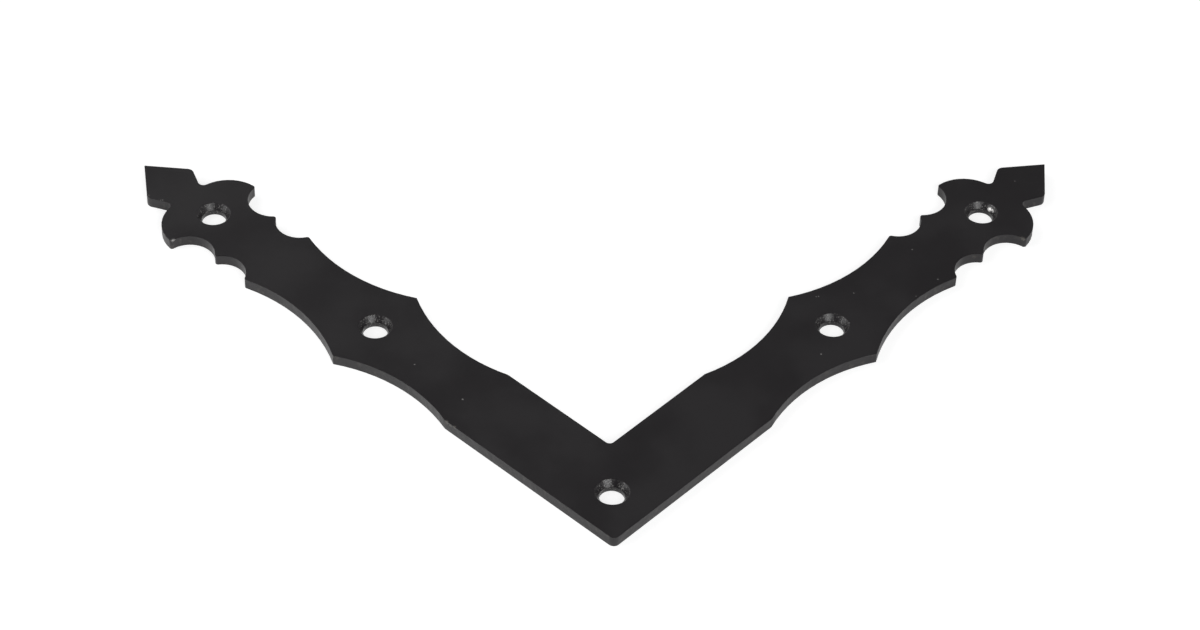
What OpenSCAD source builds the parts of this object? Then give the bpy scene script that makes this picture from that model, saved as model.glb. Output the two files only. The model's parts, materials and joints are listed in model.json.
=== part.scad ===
// Decorative corner bracket: a flat steel plate with two equal arms at a right angle.
// Each arm runs straight from the corner, swells to a pair of cusps, narrows to a collar
// and ends in a crescent with a spear point. Five countersunk screw holes fix it.
//
// The origin is the centre of the corner hole on the back face. One arm lies along +X, the
// other along +Y, and the front face looks up +Z. The lengths along an arm add up to 150 mm.

/* [Plate] */
// Width of the arms where their edges run straight
arm_width = 18.6; // [14:0.1:24]
// Thickness of the plate, coating included
thickness = 2.6; // [2:0.05:6]
// Rounding of the outer corner
outer_corner_r = 1.4; // [0.2:0.1:6]
// Fillet in the inner corner
inner_corner_r = 1.1; // [0.2:0.1:12]

/* [Leaf in the middle of an arm] */
// Straight edge, from the outer corner to the first hollow
bar_length = 47.5; // [30:0.1:90]
// Length of the hollow that comes before the cusps
first_hollow_length = 29.9; // [20:0.1:50]
// Length of the hollow that comes after the cusps
second_hollow_length = 30.25; // [20:0.1:50]
// Width across the two cusps
cusp_width = 24.6; // [19:0.1:32]
// How far the long hollows dip below the straight line between their ends
hollow_depth = 3.17; // [1.2:0.01:5]

/* [Collar] */
// Length of the collar, from corner to corner
collar_length = 9.65; // [7:0.05:14]
// Width across the corners at the start of the collar, before they are rounded
collar_start_width = 18.9; // [15:0.1:24]
// Width across the corners at the end of the collar, before they are rounded
collar_end_width = 18.2; // [15:0.1:24]
// How far the collar's hollow dips below the straight line between its ends
collar_depth = 3; // [1.5:0.05:4.5]
// Rounding of the collar's four corners
collar_corner_r = 0.6; // [0.1:0.05:0.9]

/* [Crescent] */
// Distance along the arm from the collar to the tips of the horns
horn_reach = 10.2; // [8:0.05:14]
// Width across the horns, before they are rounded
crescent_width = 24.7; // [20:0.1:32]
// How far the bite behind each horn dips below the straight line between its ends
bite_depth = 3.8; // [2:0.05:5]
// How far the front of each horn bulges out of the straight line between its ends
lobe_bulge = 2.45; // [1:0.05:4]
// Rounding of the tips of the horns
horn_r = 0.6; // [0.1:0.05:1]

/* [Spear point] */
// Distance along the arm from the tips of the horns to the neck
neck_reach = 8.4; // [6:0.05:12]
// Width of the neck, before its fillets
neck_width = 7.6; // [5:0.1:10]
// Fillet on each side of the neck
neck_r = 1.2; // [0.2:0.05:1.6]
// Length from the neck to the widest place of the spear point
spear_back_length = 5.8; // [4:0.05:9]
// Length from the widest place of the spear point to its tip
spear_front_length = 8.3; // [6:0.05:14]
// Width of the spear point, before its shoulders are rounded
spear_width = 13.2; // [10:0.1:18]
// Rounding of the shoulders of the spear point
spear_shoulder_r = 1.6; // [0.2:0.1:2.4]

/* [Screw holes] */
// Diameter of the holes, for wood screws of 4 to 5 mm
hole_d = 5.2; // [4:0.1:7]
// Diameter of the countersink at the front face
countersink_d = 7.2; // [7.1:0.1:9]
// Full angle of the countersink
countersink_angle = 70; // [60:1:120]

/* [Colour] */
// Colour of the coating
coating_colour = "#2b2b2d"; // ["#2b2b2d", "#4a3b30", "#a9adb1"]

/* [Hidden] */
// Sides of a full circle
$fn = 180;
// How far a cutting tool reaches past the face that it cuts
reach = 0.5;
// How far a rounding reaches past the edges that it joins, so that they cross and not only touch
weld = 0.01;

// Places along an arm, measured from the corner hole
arm_start = -arm_width / 2;
shoulder_x = arm_start + bar_length;
cusp_x = shoulder_x + first_hollow_length;
collar_start_x = cusp_x + second_hollow_length;
collar_end_x = collar_start_x + collar_length;
horn_x = collar_end_x + horn_reach;
neck_x = horn_x + neck_reach;
spear_x = neck_x + spear_back_length;
tip_x = spear_x + spear_front_length;

// Sharp corners of one edge of an arm, above its centreline
shoulder = [shoulder_x, arm_width / 2];
cusp = [cusp_x, cusp_width / 2];
collar_start = [collar_start_x, collar_start_width / 2];
collar_end = [collar_end_x, collar_end_width / 2];
horn = [horn_x, crescent_width / 2];
neck = [neck_x, neck_width / 2];
spear = [spear_x, spear_width / 2];
tip = [tip_x, 0];

// Sense of an arc: a hollow has its centre outside the plate, a bulge inside it
HOLLOW = 1;
BULGE = -1;

function unit(v) = v / norm(v);
function left_of(v) = [-v.y, v.x];

// Arc from p to q that leaves the straight line between them by a given depth: [centre, radius]
function arc(p, q, depth, sense) =
    let (radius = (norm(q - p) ^ 2 / 4 + depth ^ 2) / (2 * depth))
    [(p + q) / 2 + sense * (radius - depth) * left_of(unit(q - p)), radius];

// Point at distance ra from a and rb from b, on the side of the line from a to b that is asked for
function meet(a, ra, b, rb, side) =
    let (d = norm(b - a), along = (d ^ 2 + ra ^ 2 - rb ^ 2) / (2 * d))
    a + along * unit(b - a) + side * sqrt(ra ^ 2 - along ^ 2) * left_of(unit(b - a));

// Foot of the perpendicular from c on the line through p and q
function foot(c, p, q) = p + ((c - p) * unit(q - p)) * unit(q - p);

// Point of a circle that looks towards c
function towards(circle_arc, c) = circle_arc[0] + circle_arc[1] * unit(c - circle_arc[0]);

// Centre of the disc of radius r that rounds the corner b of the straight lines a-b and b-c
function corner_centre(a, b, c, r) =
    let (u = unit(a - b), v = unit(c - b), half = acos(u * v) / 2)
    b + unit(u + v) * r / sin(half);

// The arcs of the edge, as [centre, radius]
first_hollow = arc(shoulder, cusp, hollow_depth, HOLLOW);
second_hollow = arc(cusp, collar_start, hollow_depth, HOLLOW);
collar_hollow = arc(collar_start, collar_end, collar_depth, HOLLOW);
bite = arc(collar_end, horn, bite_depth, HOLLOW);
lobe = arc(horn, neck, lobe_bulge, BULGE);

// Discs that round the corners, each touching the lines or arcs on its two sides
collar_start_disc = [meet(second_hollow[0], second_hollow[1] + collar_corner_r,
    collar_hollow[0], collar_hollow[1] + collar_corner_r, -1), collar_corner_r];
collar_end_disc = [meet(collar_hollow[0], collar_hollow[1] + collar_corner_r,
    bite[0], bite[1] + collar_corner_r, -1), collar_corner_r];
horn_disc = [meet(bite[0], bite[1] + horn_r, lobe[0], lobe[1] - horn_r, 1), horn_r];
spear_disc = [corner_centre(neck, spear, tip, spear_shoulder_r), spear_shoulder_r];

// Fillet of the neck: it touches the lobe and the back edge of the spear point
neck_line = neck + neck_r * left_of(unit(spear - neck));
lobe_foot = foot(lobe[0], neck_line, neck_line + spear - neck);
neck_fillet = [lobe_foot + unit(spear - neck)
    * sqrt((lobe[1] + neck_r) ^ 2 - norm(lobe_foot - lobe[0]) ^ 2), neck_r];

// Ends of the lobe's arc
lobe_start = towards(lobe, horn_disc[0]);
lobe_end = towards(lobe, neck_fillet[0]);

// One edge of the arm's blank, from the corner to the tip. The arcs are cut out of it or added
// to it, so its points lie inside the discs that shape the place.
edge = [
    [first_hollow[0].x, arm_width / 2],
    cusp + [0, hollow_depth],
    towards(second_hollow, collar_start_disc[0]),
    towards(collar_hollow, collar_start_disc[0]),
    towards(collar_hollow, collar_end_disc[0]),
    towards(bite, collar_end_disc[0]),
    towards(bite, horn_disc[0]),
    lobe_start,
    lobe_end,
    foot(neck_fillet[0], neck, spear),
    foot(spear_disc[0], neck, spear),
    foot(spear_disc[0], spear, tip),
    tip,
];

// The two corners between the arms, each as the ends of its rounding
outer_corner = [[arm_start, arm_start + outer_corner_r], [arm_start + outer_corner_r, arm_start]];
inner_corner = [[arm_width / 2 + inner_corner_r, arm_width / 2],
    [arm_width / 2, arm_width / 2 + inner_corner_r]];

function reversed(list) = [for (i = [len(list) - 1:-1:0]) list[i]];
function below(points) = [for (p = points) [p.x, -p.y]];
function swapped(points) = [for (p = points) [p.y, p.x]];

// Both edges of an arm, up to the tip and back
arm_outline = concat(below(edge), [for (i = [len(edge) - 2:-1:0]) edge[i]]);

// Repeats its children on both edges of both arms
module on_each_edge() {
    for (turn = [0, 1], side = [0, 1])
        mirror([turn, -turn, 0]) mirror([0, side, 0]) children();
}

module disc(circle_arc) {
    translate(circle_arc[0]) circle(r = circle_arc[1]);
}

// A disc that rounds a corner
module rounding(circle_arc) {
    disc([circle_arc[0], circle_arc[1] + weld]);
}

// A long hollow: the part of its disc over the stretch of the edge between its two ends
module long_hollow(circle_arc, from, to) {
    intersection() {
        disc(circle_arc);
        translate([from.x - hollow_depth, 0])
            square([to.x - from.x + 2 * hollow_depth, cusp.y + 2 * hollow_depth]);
    }
}

// The rounded front of a horn: the slice of its disc between the horn's tip and the neck
module lobe_front() {
    outward = 2 * lobe_bulge * left_of(unit(lobe_end - lobe_start));
    intersection() {
        disc(lobe);
        polygon([lobe_start - outward, lobe_end - outward, lobe_end + outward, lobe_start + outward]);
    }
}

// Flat outline of the whole plate
module plate_outline() {
    difference() {
        union() {
            polygon(concat(outer_corner, arm_outline, inner_corner, reversed(swapped(arm_outline))));
            translate([1, 1] * (arm_start + outer_corner_r)) circle(r = outer_corner_r);
            on_each_edge() {
                lobe_front();
                rounding(spear_disc);
            }
        }
        translate([1, 1] * (arm_width / 2 + inner_corner_r)) circle(r = inner_corner_r);
        on_each_edge() {
            long_hollow(first_hollow, shoulder, cusp);
            long_hollow(second_hollow, cusp, collar_start);
            disc(collar_hollow);
            disc(bite);
            rounding(neck_fillet);
        }
    }
    on_each_edge() {
        rounding(collar_start_disc);
        rounding(collar_end_disc);
        rounding(horn_disc);
    }
}

// Hole with its countersink, cut from the front
module screw_hole() {
    slope = tan(countersink_angle / 2);
    sink_depth = (countersink_d - hole_d) / 2 / slope;
    translate([0, 0, -reach]) cylinder(h = thickness + 2 * reach, d = hole_d);
    translate([0, 0, thickness - sink_depth])
        cylinder(h = sink_depth + reach, d1 = hole_d, d2 = countersink_d + 2 * reach * slope);
}

// The bracket: one punched plate with a hole at the corner, at the cusps and in each crescent
module corner_plate() {
    color(coating_colour)
        difference() {
            linear_extrude(thickness) plate_outline();
            screw_hole();
            for (x = [cusp_x, horn_x]) {
                translate([x, 0, 0]) screw_hole();
                translate([0, x, 0]) screw_hole();
            }
        }
}

corner_plate();
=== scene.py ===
"""Looks of a decorative corner bracket: a black coated steel plate on a pale studio floor.

Everything is in metres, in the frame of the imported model: the corner hole stands at the origin,
the arms lie along +X and +Y, and the front face looks up +Z.
"""

import json
import logging
import math
from collections.abc import Mapping
from dataclasses import dataclass, field
from enum import Enum

import bmesh
import bpy
from mathutils import Matrix, Vector


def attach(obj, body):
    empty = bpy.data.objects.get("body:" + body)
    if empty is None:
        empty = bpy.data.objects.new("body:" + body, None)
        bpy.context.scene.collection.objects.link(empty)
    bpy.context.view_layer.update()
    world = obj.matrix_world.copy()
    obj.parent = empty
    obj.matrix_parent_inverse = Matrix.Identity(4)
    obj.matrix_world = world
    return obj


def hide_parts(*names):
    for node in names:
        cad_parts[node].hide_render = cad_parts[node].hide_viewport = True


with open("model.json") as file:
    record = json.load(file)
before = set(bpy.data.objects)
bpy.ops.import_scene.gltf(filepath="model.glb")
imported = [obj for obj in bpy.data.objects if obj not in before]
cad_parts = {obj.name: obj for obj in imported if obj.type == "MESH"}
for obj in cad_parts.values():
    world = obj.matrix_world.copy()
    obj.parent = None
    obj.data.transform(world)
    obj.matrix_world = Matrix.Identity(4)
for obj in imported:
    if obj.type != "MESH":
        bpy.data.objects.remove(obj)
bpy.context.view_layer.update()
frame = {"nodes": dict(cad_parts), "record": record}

MM = 0.001
WHITE = (1.0, 1.0, 1.0, 1.0)
OFF_TO_ON = (0.0, 1.0)
log = logging.getLogger("corner_bracket")

Socket = bpy.types.NodeSocket
Value = Socket | float | int | tuple
Colour = tuple[float, float, float, float]
Span = tuple[float, float]
Spot = tuple[float, float, float, float]


class Zone(Enum):
    """A mask on the plate's vertices, by the name of its attribute."""

    SHEARED_EDGE = "sheared_edge"
    SCREW_HOLE = "screw_hole"


class SpeckForm(Enum):
    """How far a speck reaches along Z, as the share of the depth that counts as distance."""

    COLUMN = 0.0
    BALL = 1.0


@dataclass(frozen=True)
class Grain:
    """A noise pattern: its scale in lines a metre, its detail, and the greys that a mask uses."""

    scale: float
    detail: float
    span: Span = OFF_TO_ON


class NodeBuilder:
    """Adds nodes to one node tree and links them."""

    def __init__(self, tree: bpy.types.NodeTree) -> None:
        """Starts with an empty tree.

        Args:
            tree: The tree of a material, a world or a node group.
        """
        self.tree = tree
        tree.nodes.clear()

    def add(self, kind: str, inputs: Mapping[str | int, Value] | None = None,
            **settings: object) -> bpy.types.Node:
        """Adds one node.

        Args:
            kind: The node's type, without the ShaderNode that most types start with.
            inputs: Values or sockets for the node's inputs, by name or by index.
            settings: Properties of the node, such as its operation.

        Returns:
            The new node.
        """
        node = self.tree.nodes.new(kind if kind.startswith("NodeGroup") else "ShaderNode" + kind)
        for name, value in settings.items():
            setattr(node, name, value)
        for key, value in (inputs or {}).items():
            self.plug(node, key, value)
        return node

    def plug(self, node: bpy.types.Node, key: str | int, value: Value) -> None:
        """Links a socket to a node's input, or sets the input to a value.

        Args:
            node: The node.
            key: The input's name or index.
            value: The socket or the value.
        """
        if isinstance(value, Socket):
            self.tree.links.new(value, node.inputs[key])
        else:
            node.inputs[key].default_value = value

    def math(self, operation: str, first: Value, second: Value = 0.0) -> Socket:
        """Returns the result of a Math node."""
        return self.add("Math", {0: first, 1: second}, operation=operation).outputs[0]

    def vector(self, operation: str, first: Value, second: Value | None = None) -> bpy.types.Node:
        """Returns a Vector Math node; its outputs are the vector and the value."""
        inputs = {0: first} if second is None else {0: first, 1: second}
        return self.add("VectorMath", inputs, operation=operation)

    def ramp(self, value: Value, start: Span, end: Span) -> Socket:
        """Returns the value carried smoothly from one range to another and held at its ends."""
        inputs = {0: value, 1: start[0], 2: start[1], 3: end[0], 4: end[1]}
        return self.add("MapRange", inputs, interpolation_type="SMOOTHSTEP").outputs[0]

    def blend(self, factor: Value, first: Value, second: Value) -> Socket:
        """Returns a colour between two, by the factor."""
        return self.add("Mix", {0: factor, 6: first, 7: second}, data_type="RGBA").outputs[2]

    def between(self, factor: Value, first: Value, second: Value) -> Socket:
        """Returns a number between two, by the factor."""
        return self.add("Mix", {0: factor, 2: first, 3: second}, data_type="FLOAT").outputs[0]

    def noise(self, vector: Value, scale: Value, detail: float) -> Socket:
        """Returns the grey value of a Noise texture, about 0.5 on average."""
        return self.add("TexNoise", {"Vector": vector, "Scale": scale, "Detail": detail}).outputs[0]

    def pattern(self, vector: Value, grain: Grain) -> Socket:
        """Returns the grey value of a noise pattern."""
        return self.noise(vector, grain.scale, grain.detail)

    def patches(self, vector: Value, grain: Grain) -> Socket:
        """Returns a mask of the pale patches of a noise pattern."""
        return self.ramp(self.pattern(vector, grain), grain.span, OFF_TO_ON)

    def bump(self, height: Value, depth: float, normal: Value | None = None) -> Socket:
        """Adds relief to a surface.

        Args:
            height: The relief, from 0 to 1.
            depth: How deep it is, in metres.
            normal: The normal that it is added to, or None for the plain surface.

        Returns:
            The new normal.
        """
        inputs = {"Height": height, "Distance": depth, "Strength": 1.0}
        if normal is not None:
            inputs["Normal"] = normal
        return self.add("Bump", inputs).outputs[0]


class EffectGroup:
    """A shader node group with named inputs and outputs, built once and used by any material."""

    name = "effect"
    inputs: tuple[tuple[str, str, float], ...] = ()
    outputs: tuple[tuple[str, str], ...] = ()

    @classmethod
    def tree(cls) -> bpy.types.NodeTree:
        """Builds the group when it is first asked for.

        Returns:
            The node tree of the group.
        """
        if cls.name in bpy.data.node_groups:
            return bpy.data.node_groups[cls.name]
        tree = bpy.data.node_groups.new(cls.name, "ShaderNodeTree")
        for name, kind, value in cls.inputs:
            socket = tree.interface.new_socket(name, in_out="INPUT", socket_type=kind)
            if kind == "NodeSocketFloat":
                socket.default_value = value
        for name, kind in cls.outputs:
            tree.interface.new_socket(name, in_out="OUTPUT", socket_type=kind)
        build = NodeBuilder(tree)
        entry = build.add("NodeGroupInput")
        build.add("NodeGroupOutput", cls.results(build, entry))
        return tree

    @classmethod
    def results(cls, build: NodeBuilder, entry: bpy.types.Node) -> dict[str, Socket]:
        """Makes the group's nodes.

        Args:
            build: The builder of the group's tree.
            entry: The group's input node.

        Returns:
            The socket for each output, by name.
        """
        raise NotImplementedError


class OrangePeel(EffectGroup):
    """Texture of a sprayed and baked coat: a fine grain on soft, wider waves, and wide clouds."""

    name = "orange_peel"
    inputs = (
        ("Vector", "NodeSocketVector", 0.0),
        ("Grain Scale", "NodeSocketFloat", 1800.0),
        ("Wave Scale", "NodeSocketFloat", 420.0),
        ("Grain Share", "NodeSocketFloat", 0.4),
    )
    outputs = (("Height", "NodeSocketFloat"), ("Cloud", "NodeSocketFloat"))
    grain_detail = 3.0
    wave_detail = 1.0
    cloud_detail = 4.0
    cloud_to_wave = 0.12

    @classmethod
    def results(cls, build: NodeBuilder, entry: bpy.types.Node) -> dict[str, Socket]:
        """Makes the nodes of the grain, the waves and the clouds.

        Args:
            build: The builder of the group's tree.
            entry: The group's input node.

        Returns:
            The height of the relief, and the clouds for colour and sheen.
        """
        place = entry.outputs["Vector"]
        grain = build.noise(place, entry.outputs["Grain Scale"], cls.grain_detail)
        wave = build.noise(place, entry.outputs["Wave Scale"], cls.wave_detail)
        height = build.between(entry.outputs["Grain Share"], wave, grain)
        cloud_scale = build.math("MULTIPLY", entry.outputs["Wave Scale"], cls.cloud_to_wave)
        return {"Height": height, "Cloud": build.noise(place, cloud_scale, cls.cloud_detail)}


class Speck(EffectGroup):
    """One small irregular mark at a given place: a ball, or at a depth share of 0 a column."""

    name = "speck"
    inputs = (
        ("Vector", "NodeSocketVector", 0.0),
        ("Place", "NodeSocketVector", 0.0),
        ("Radius", "NodeSocketFloat", 0.0002),
        ("Depth Share", "NodeSocketFloat", 0.0),
    )
    outputs = (("Mask", "NodeSocketFloat"),)
    ragged = Grain(9000.0, 2.0, (0.3, 0.7))
    ragged_reach = (0.6, 1.4)
    rim = (0.7, 1.1)

    @classmethod
    def results(cls, build: NodeBuilder, entry: bpy.types.Node) -> dict[str, Socket]:
        """Makes the nodes of the mark.

        Args:
            build: The builder of the group's tree.
            entry: The group's input node.

        Returns:
            The mask, 1 on the mark.
        """
        offset = build.vector("SUBTRACT", entry.outputs["Vector"], entry.outputs["Place"])
        stretch = build.add("CombineXYZ", {0: 1.0, 1: 1.0, 2: entry.outputs["Depth Share"]})
        near = build.vector("MULTIPLY", offset.outputs[0], stretch.outputs[0])
        distance = build.vector("LENGTH", near.outputs[0]).outputs["Value"]
        uneven = build.pattern(entry.outputs["Vector"], cls.ragged)
        stretched = build.ramp(uneven, cls.ragged.span, cls.ragged_reach)
        reach = build.math("MULTIPLY", entry.outputs["Radius"], stretched)
        return {"Mask": build.ramp(build.math("DIVIDE", distance, reach), cls.rim, (1.0, 0.0))}


@dataclass(frozen=True)
class CoatMasks:
    """Where the coat differs from place to place: 1 on a mark or a zone and 0 elsewhere."""

    sheared: Socket
    hole: Socket
    cloud: Socket
    lint: Socket
    nick: Socket
    scuff: Socket
    bare: Socket


@dataclass(frozen=True)
class BlackPowderCoat:
    """Satin black powder coat on steel: the finish of the whole plate.

    Each spot is its X, Y and Z and its radius, in millimetres.
    """

    name: str = "black_powder_coat"
    deep: Colour = (0.0130, 0.0112, 0.0128, 1.0)
    pale: Colour = (0.0190, 0.0172, 0.0188, 1.0)
    # painted light: the lighter colour of the steep walls, laid on in mottled patches
    painted_wall_light: Colour = (0.050, 0.045, 0.041, 1.0)
    glint: Colour = (0.18, 0.175, 0.17, 1.0)
    lint: Colour = (0.24, 0.235, 0.23, 1.0)
    nick: Colour = (0.45, 0.44, 0.43, 1.0)
    scuff: Colour = (0.095, 0.088, 0.080, 1.0)
    bare: Colour = (0.62, 0.61, 0.60, 1.0)
    lint_places: tuple[Spot, ...] = (
        (59.7, -4.1, 0.0, 0.20),
        (-2.5, 39.8, 0.0, 0.20),
        (-2.2, 54.1, 0.0, 0.16),
        (72.3, 8.1, 0.0, 0.13),
        (72.7, 7.8, 0.0, 0.13),
        (94.8, -6.9, 0.0, 0.15),
        (98.2, 3.0, 0.0, 0.15),
        (78.8, 3.1, 0.0, 0.14),
        (-5.1, 129.6, 0.0, 0.12),
        (-4.8, 129.3, 0.0, 0.14),
        (87.4, -7.0, 0.0, 0.13),
        (131.5, 1.1, 0.0, 0.12),
        (71.1, -2.2, 0.0, 0.12),
    )
    nick_places: tuple[Spot, ...] = (
        (-11.9, 117.9, 2.6, 0.55),
        (-10.3, 117.2, 2.6, 0.30),
        (-7.9, 109.9, 2.5, 0.36),
    )
    scuff_places: tuple[Spot, ...] = (
        (118.0, -11.8, 2.3, 0.55),
        (117.2, -11.3, 2.0, 0.40),
        (-5.9, 132.6, 2.4, 0.30),
        (-9.3, 37.6, 2.3, 0.45),
        (-9.3, 36.6, 2.1, 0.34),
        (-9.3, 35.4, 2.4, 0.38),
        (-9.5, 39.8, 1.8, 0.40),
    )
    bare_places: tuple[Spot, ...] = (
        (121.15, -0.15, 1.60, 0.50),
        (121.30, -0.78, 1.72, 0.34),
        (120.95, -1.30, 1.80, 0.28),
    )
    face_roughness: float = 0.42
    edge_roughness: float = 0.40
    hole_roughness: float = 0.30
    bare_roughness: float = 0.38
    sheen_swing: float = 0.03
    specular_level: float = 0.5
    cloud_span: Span = (0.35, 0.65)
    mottle: Grain = Grain(750.0, 3.0, (0.54, 0.74))
    sparkle: Grain = Grain(3000.0, 1.0, (0.59, 0.68))
    streak: Grain = Grain(2600.0, 3.0)
    streak_stretch: tuple[float, float, float] = (1.0, 1.0, 0.25)
    wave: Grain = Grain(320.0, 2.0)
    chatter: Grain = Grain(2400.0, 2.0)
    peel_depth: float = 0.004 * MM
    shear_depth: float = 0.02 * MM
    wave_depth: float = 0.25 * MM
    chatter_depth: float = 0.07 * MM

    def specks(self, build: NodeBuilder, place: Socket, spots: tuple[Spot, ...],
               form: SpeckForm) -> Socket:
        """Makes one mask of several specks.

        Args:
            build: The builder of the material's tree.
            place: The object coordinates.
            spots: The specks.
            form: Whether they are balls, or columns along Z.

        Returns:
            The mask, 1 on a speck.
        """
        mask = None
        for x, y, z, radius in spots:
            inputs = {"Vector": place, "Place": (x * MM, y * MM, z * MM), "Radius": radius * MM,
                      "Depth Share": form.value}
            speck = build.add("Group", inputs, node_tree=Speck.tree()).outputs["Mask"]
            mask = speck if mask is None else build.math("MAXIMUM", mask, speck)
        return mask

    def masks(self, build: NodeBuilder, place: Socket, clouds: Socket) -> CoatMasks:
        """Makes the masks of the coat's zones and marks.

        Args:
            build: The builder of the material's tree.
            place: The object coordinates.
            clouds: The clouds of the coat's texture.

        Returns:
            The masks.
        """
        sheared = build.add("Attribute", attribute_name=Zone.SHEARED_EDGE.value).outputs["Fac"]
        hole = build.add("Attribute", attribute_name=Zone.SCREW_HOLE.value).outputs["Fac"]
        lint = self.specks(build, place, self.lint_places, SpeckForm.COLUMN)
        on_face = build.math("SUBTRACT", 1.0, build.math("MAXIMUM", sheared, hole))
        return CoatMasks(
            sheared=sheared,
            hole=hole,
            cloud=build.ramp(clouds, self.cloud_span, OFF_TO_ON),
            lint=build.math("MULTIPLY", lint, build.math("MAXIMUM", on_face, 0.0)),
            nick=self.specks(build, place, self.nick_places, SpeckForm.BALL),
            scuff=self.specks(build, place, self.scuff_places, SpeckForm.BALL),
            bare=self.specks(build, place, self.bare_places, SpeckForm.BALL),
        )

    def colour(self, build: NodeBuilder, place: Socket, masks: CoatMasks) -> Socket:
        """Makes the colour: clouds, painted light on the walls, glints in the holes, and marks.

        Args:
            build: The builder of the material's tree.
            place: The object coordinates.
            masks: The masks of the coat.

        Returns:
            The colour.
        """
        face = build.blend(masks.cloud, self.deep, self.pale)
        # painted light: the steep walls are made lighter in mottled patches, for the light that
        # falls on them
        wall_light_patches = build.math("MULTIPLY", masks.sheared, build.patches(place, self.mottle))
        coat = build.blend(wall_light_patches, face, self.painted_wall_light)
        glints = build.math("MULTIPLY", masks.hole, build.patches(place, self.sparkle))
        coat = build.blend(glints, coat, self.glint)
        for mark, colour in ((masks.scuff, self.scuff), (masks.nick, self.nick),
                             (masks.lint, self.lint), (masks.bare, self.bare)):
            coat = build.blend(mark, coat, colour)
        return coat

    def roughness(self, build: NodeBuilder, masks: CoatMasks) -> Socket:
        """Makes the roughness of the faces, the edges, the holes and the bare steel.

        Args:
            build: The builder of the material's tree.
            masks: The masks of the coat.

        Returns:
            The roughness.
        """
        coated = build.between(masks.sheared, self.face_roughness, self.edge_roughness)
        coated = build.between(masks.hole, coated, self.hole_roughness)
        swing = build.ramp(masks.cloud, OFF_TO_ON, (-self.sheen_swing, self.sheen_swing))
        return build.between(masks.bare, build.math("ADD", coated, swing), self.bare_roughness)

    def relief(self, build: NodeBuilder, place: Socket, peel: Socket, masks: CoatMasks) -> Socket:
        """Makes the relief: orange peel, streaks and waves on the edges, chatter in the holes.

        Args:
            build: The builder of the material's tree.
            place: The object coordinates.
            peel: The height of the coat's texture.
            masks: The masks of the coat.

        Returns:
            The normal.
        """
        along = build.add("Mapping", {"Vector": place, "Scale": self.streak_stretch}).outputs[0]
        streaks = build.math("MULTIPLY", build.pattern(along, self.streak), masks.sheared)
        waves = build.math("MULTIPLY", build.pattern(place, self.wave), masks.sheared)
        scores = build.math("MULTIPLY", build.pattern(place, self.chatter), masks.hole)
        normal = build.bump(peel, self.peel_depth)
        normal = build.bump(streaks, self.shear_depth, normal)
        normal = build.bump(waves, self.wave_depth, normal)
        return build.bump(scores, self.chatter_depth, normal)

    def material(self) -> bpy.types.Material:
        """Builds the material.

        Returns:
            The new material.
        """
        material = bpy.data.materials.new(self.name)
        material.use_nodes = True
        build = NodeBuilder(material.node_tree)
        place = build.add("TexCoord").outputs["Object"]
        peel = build.add("Group", {"Vector": place}, node_tree=OrangePeel.tree())
        masks = self.masks(build, place, peel.outputs["Cloud"])
        shader = build.add("BsdfPrincipled", {
            "Base Color": self.colour(build, place, masks),
            "Metallic": masks.bare,
            "Roughness": self.roughness(build, masks),
            "Specular IOR Level": self.specular_level,
            "Normal": self.relief(build, place, peel.outputs["Height"], masks),
        })
        build.add("OutputMaterial", {"Surface": shader.outputs[0]})
        return material


@dataclass(frozen=True)
class PaleFloor:
    """Smooth white studio paper, lifted to full white where it is seen straight or in a gloss.

    In a gloss the lift goes from its first value to its second as the place, times across, goes
    from -gloss_fade to gloss_fade.
    """

    name: str = "pale_floor"
    colour: Colour = (0.50, 0.50, 0.50, 1.0)
    straight_lift: float = 0.75
    gloss_lift: Span = (0.66, 0.46)
    gloss_fade: float = 0.08
    across: tuple[float, float, float] = (1.0, -1.0, 0.0)
    roughness: float = 0.9

    def lift(self, build: NodeBuilder) -> Socket:
        """Makes the light that the paper adds, which in a gloss fades across the floor.

        Args:
            build: The builder of the material's tree.

        Returns:
            The strength.
        """
        path = build.add("LightPath")
        place = build.add("TexCoord").outputs["Object"]
        sideways = build.vector("DOT_PRODUCT", place, self.across).outputs["Value"]
        gloss_lift = build.ramp(sideways, (-self.gloss_fade, self.gloss_fade), self.gloss_lift)
        in_gloss = build.math("MULTIPLY", path.outputs["Is Glossy Ray"], gloss_lift)
        straight = build.math("MAXIMUM", path.outputs["Is Camera Ray"],
                              path.outputs["Is Transmission Ray"])
        seen = build.math("MULTIPLY", straight, self.straight_lift)
        return build.math("MAXIMUM", in_gloss, seen)

    def material(self) -> bpy.types.Material:
        """Builds the material.

        Returns:
            The new material.
        """
        material = bpy.data.materials.new(self.name)
        material.use_nodes = True
        build = NodeBuilder(material.node_tree)
        shader = build.add("BsdfPrincipled", {
            "Base Color": self.colour,
            "Roughness": self.roughness,
            "Specular IOR Level": 0.0,
            "Emission Color": WHITE,
            "Emission Strength": self.lift(build),
        })
        build.add("OutputMaterial", {"Surface": shader.outputs[0]})
        return material


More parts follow.
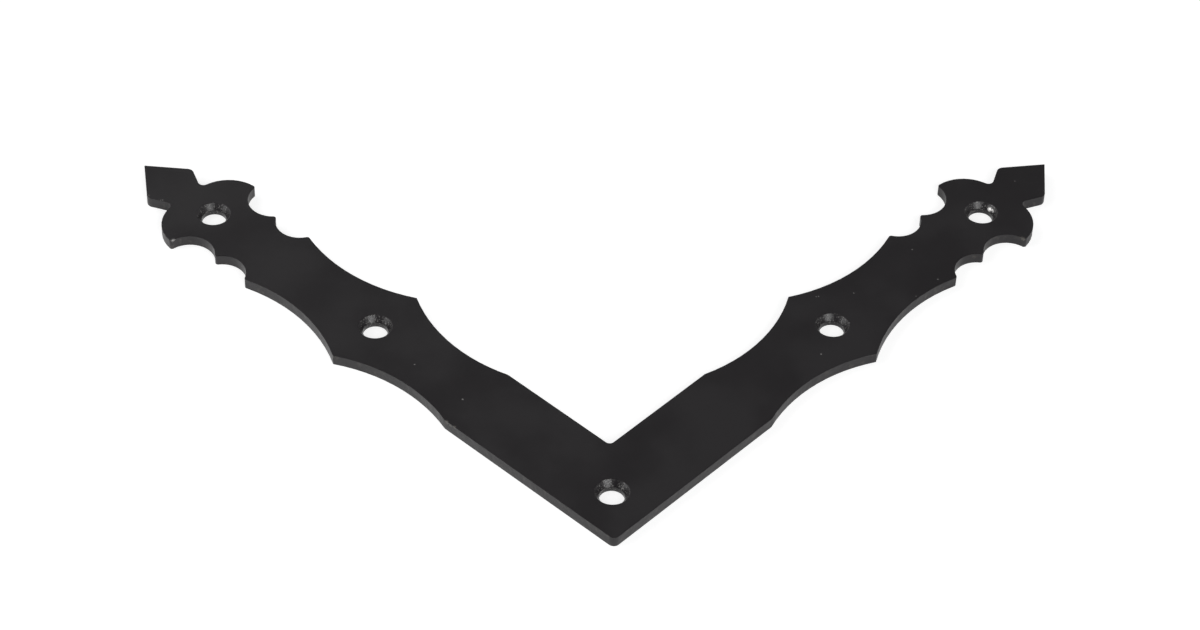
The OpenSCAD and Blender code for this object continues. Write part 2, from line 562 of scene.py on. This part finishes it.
@dataclass
class CornerPlate:
    """The plate as it is seen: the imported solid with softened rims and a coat.

    An edge that turns more than rim_turn is a rim, and one that turns less than flat_turn lies
    within a flat face. A face is level where the Z of its normal is past level_normal.
    """

    node: str = "corner_plate"
    slot: str = "black_coating"
    body: str = "root"
    rim_round: float = 0.10 * MM
    rim_segments: int = 3
    lip_round: float = 0.10 * MM
    lip_segments: int = 4
    hole_surround: float = 6.0 * MM
    hole_mask_gain: float = 2.0
    doubles: float = 0.0001 * MM
    rim_turn: float = math.radians(20.0)
    flat_turn: float = math.radians(0.1)
    level_normal: float = 0.999
    shading_weight: int = 100
    finish: BlackPowderCoat = field(default_factory=BlackPowderCoat)

    def hole_places(self) -> list[Vector]:
        """Returns the centres of the screw holes on the back face, as the record gives them."""
        mounts = frame["record"]["mounts"]
        return [Vector(m["pos_m"]) for m in mounts if m["kind"] == "bore"]

    def is_lip(self, edge: bmesh.types.BMEdge, front: float) -> bool:
        """Tells whether an edge is on the rim of a countersink in the front face.

        Args:
            edge: The edge.
            front: Height of the front face.

        Returns:
            True on the rim of a countersink.
        """
        middle = (edge.verts[0].co + edge.verts[1].co) / 2
        if abs(middle.z - front) > self.doubles:
            return False
        return any((middle - hole).xy.length < self.hole_surround for hole in self.hole_places())

    def merge(self) -> bmesh.types.BMesh:
        """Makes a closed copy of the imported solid, with each flat face in as few pieces as it can.

        Returns:
            The merged plate.
        """
        mesh = bmesh.new()
        mesh.from_mesh(frame["nodes"][self.node].data)
        bmesh.ops.remove_doubles(mesh, verts=mesh.verts[:], dist=self.doubles)
        flat = [e for e in mesh.edges if e.calc_face_angle(1.0) < self.flat_turn
                and abs(e.link_faces[0].normal.z) > self.level_normal]
        bmesh.ops.dissolve_limit(mesh, angle_limit=self.flat_turn, verts=[], edges=flat)
        mesh.normal_update()
        return mesh

    def soften(self, mesh: bmesh.types.BMesh) -> None:
        """Rounds the rims as the coat does, the lips of the countersinks in finer steps.

        Args:
            mesh: The merged plate.
        """
        front = max(v.co.z for v in mesh.verts)
        turned = [e for e in mesh.edges if e.calc_face_angle(0.0) > self.rim_turn]
        lips = [e for e in turned if self.is_lip(e, front)]
        rims = [e for e in turned if e not in set(lips)]
        for edges, width, segments in ((rims, self.rim_round, self.rim_segments),
                                       (lips, self.lip_round, self.lip_segments)):
            alive = [e for e in edges if e.is_valid]
            bmesh.ops.bevel(mesh, geom=alive, offset=width, offset_type="OFFSET",
                            segments=segments, profile=0.5, affect="EDGES", material=-1,
                            clamp_overlap=True, loop_slide=False)
        mesh.normal_update()

    def mark_zones(self, mesh: bmesh.types.BMesh) -> None:
        """Writes the masks of the sheared edges and the screw holes on the vertices.

        Args:
            mesh: The softened plate.
        """
        layers = {zone: mesh.verts.layers.float.new(zone.value) for zone in Zone}
        holes = self.hole_places()
        for vertex in mesh.verts:
            steep = 1.0 - abs(vertex.normal.z)
            in_hole = any((vertex.co - hole).xy.length < self.hole_surround for hole in holes)
            hole_mask = min(1.0, self.hole_mask_gain * steep)
            vertex[layers[Zone.SCREW_HOLE]] = hole_mask if in_hole else 0.0
            vertex[layers[Zone.SHEARED_EDGE]] = 0.0 if in_hole else steep

    def build(self) -> bpy.types.Object:
        """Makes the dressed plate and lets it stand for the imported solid.

        Returns:
            The plate's object.
        """
        mesh = self.merge()
        self.soften(mesh)
        self.mark_zones(mesh)
        for face in mesh.faces:
            face.smooth = True
        data = bpy.data.meshes.new(self.node + "_coated")
        mesh.to_mesh(data)
        mesh.free()
        plate = bpy.data.objects.new(self.node + "_coated", data)
        bpy.context.scene.collection.objects.link(plate)
        data.materials.append(self.finish.material())
        shade = plate.modifiers.new("even_shading", "WEIGHTED_NORMAL")
        shade.weight = self.shading_weight
        shade.keep_sharp = True
        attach(plate, self.body)
        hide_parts(self.node)
        return plate


@dataclass(frozen=True)
class SoftBox:
    """A square soft light.

    Its bearing is in degrees from the camera's side and its elevation in degrees from the floor,
    its distance and size are in metres, and its power is in watts.
    """

    name: str
    bearing: float
    elevation: float
    distance: float
    size: float
    power: float


@dataclass
class PhotoCamera:
    """The photograph's camera: its place in metres, its angles in degrees, its lens in mm."""

    place: tuple[float, float, float] = (-0.373966, -0.329250, 0.525846)
    heading: float = 41.786
    dip: float = 43.598
    roll: float = 2.036
    lens: float = 107.80
    sensor: float = 36.0
    nearest: float = 0.01
    farthest: float = 50.0

    def build(self) -> bpy.types.Object:
        """Makes the camera and gives the scene its view.

        Returns:
            The camera's object.
        """
        data = bpy.data.cameras.new("photo_camera")
        data.lens = self.lens
        data.sensor_width = self.sensor
        data.sensor_fit = "HORIZONTAL"
        data.clip_start = self.nearest
        data.clip_end = self.farthest
        data.dof.use_dof = False
        camera = bpy.data.objects.new("photo_camera", data)
        turn = (Matrix.Rotation(math.radians(self.heading - 90.0), 4, "Z")
                @ Matrix.Rotation(math.radians(90.0 - self.dip), 4, "X")
                @ Matrix.Rotation(math.radians(self.roll), 4, "Z"))
        camera.matrix_world = Matrix.Translation(self.place) @ turn
        bpy.context.scene.collection.objects.link(camera)
        bpy.context.scene.camera = camera
        return camera


@dataclass
class Studio:
    """The pale floor, the soft lights and the surroundings.

    The camera stands at the bearing towards_camera, in degrees. The surroundings have a strength
    at the ceiling, at the horizon, at the horizon on the camera's side, and as a backdrop.
    """

    towards_camera: float = 221.8
    middle: tuple[float, float, float] = (0.05, 0.05, 0.0)
    floor_size: float = 8.0
    floor_gap: float = 0.02 * MM
    ceiling: float = 0.13
    horizon: float = 0.75
    camera_side: float = 0.12
    camera_side_span: Span = (0.1, 0.85)
    ceiling_span: Span = (0.1, 0.45)
    backdrop: float = 1.0
    lights: tuple[SoftBox, ...] = (
        SoftBox("right_softbox", 31.0, 29.0, 1.2, 0.85, 9.5),
        SoftBox("left_softbox", -80.0, 30.0, 1.2, 0.75, 4.5),
        SoftBox("back_panel", -128.0, 40.0, 1.6, 1.0, 5.0),
    )
    floor_finish: PaleFloor = field(default_factory=PaleFloor)

    def build_floor(self) -> bpy.types.Object:
        """Lays the floor under the plate.

        Returns:
            The floor's object.
        """
        mesh = bmesh.new()
        bmesh.ops.create_grid(mesh, x_segments=1, y_segments=1, size=self.floor_size / 2)
        bmesh.ops.translate(mesh, verts=mesh.verts[:], vec=(0.0, 0.0, -self.floor_gap))
        data = bpy.data.meshes.new("studio_floor")
        mesh.to_mesh(data)
        mesh.free()
        floor = bpy.data.objects.new("studio_floor", data)
        data.materials.append(self.floor_finish.material())
        bpy.context.scene.collection.objects.link(floor)
        return floor

    def build_light(self, box: SoftBox) -> bpy.types.Object:
        """Hangs one soft light and turns it to the plate.

        Args:
            box: The light's direction, size and power.

        Returns:
            The light's object.
        """
        data = bpy.data.lights.new(box.name, "AREA")
        data.shape = "SQUARE"
        data.size = box.size
        data.energy = box.power
        light = bpy.data.objects.new(box.name, data)
        bearing = math.radians(self.towards_camera + box.bearing)
        rise = math.radians(box.elevation)
        outwards = Vector((math.cos(bearing) * math.cos(rise), math.sin(bearing) * math.cos(rise),
                           math.sin(rise)))
        place = Matrix.Translation(Vector(self.middle) + outwards * box.distance)
        light.matrix_world = place @ outwards.to_track_quat("Z", "Y").to_matrix().to_4x4()
        light.visible_camera = False
        bpy.context.scene.collection.objects.link(light)
        return light

    def build_surroundings(self) -> None:
        """Makes the world: white for the camera, and dim overhead for the light on the plate."""
        world = bpy.data.worlds.new("studio")
        world.use_nodes = True
        bpy.context.scene.world = world
        build = NodeBuilder(world.node_tree)
        direction = build.add("TexCoord").outputs["Generated"]
        height = build.add("SeparateXYZ", {0: direction}).outputs["Z"]
        bearing = math.radians(self.towards_camera)
        flattened = build.vector("MULTIPLY", direction, (1.0, 1.0, 0.0))
        compass = build.vector("NORMALIZE", flattened.outputs[0])
        to_camera = (math.cos(bearing), math.sin(bearing), 0.0)
        facing = build.vector("DOT_PRODUCT", compass.outputs[0], to_camera).outputs["Value"]
        low = build.ramp(facing, self.camera_side_span, (self.horizon, self.camera_side))
        rise = build.ramp(height, self.ceiling_span, OFF_TO_ON)
        level = build.between(rise, low, self.ceiling)
        seen = build.add("LightPath").outputs["Is Camera Ray"]
        strength = build.between(seen, level, self.backdrop)
        sky = build.add("Background", {"Color": WHITE, "Strength": strength})
        build.add("OutputWorld", {"Surface": sky.outputs[0]})

    def build(self) -> list[bpy.types.Object]:
        """Makes the floor, the lights and the surroundings.

        Returns:
            The floor and the lights.
        """
        objects = [self.build_floor()]
        objects += [self.build_light(box) for box in self.lights]
        self.build_surroundings()
        return objects


def main() -> None:
    """Dresses the plate, sets the studio and the camera, and reports each of them."""
    logging.basicConfig(level=logging.INFO, format="%(name)s: %(message)s")
    bpy.context.scene.view_settings.view_transform = "Standard"
    plate = CornerPlate().build()
    points, faces = len(plate.data.vertices), len(plate.data.polygons)
    log.info("%s: %d points and %d faces", plate.name, points, faces)
    for thing in (*Studio().build(), PhotoCamera().build()):
        log.info("%s: %s", thing.name, thing.type.lower())


if __name__ == "__main__":
    main()
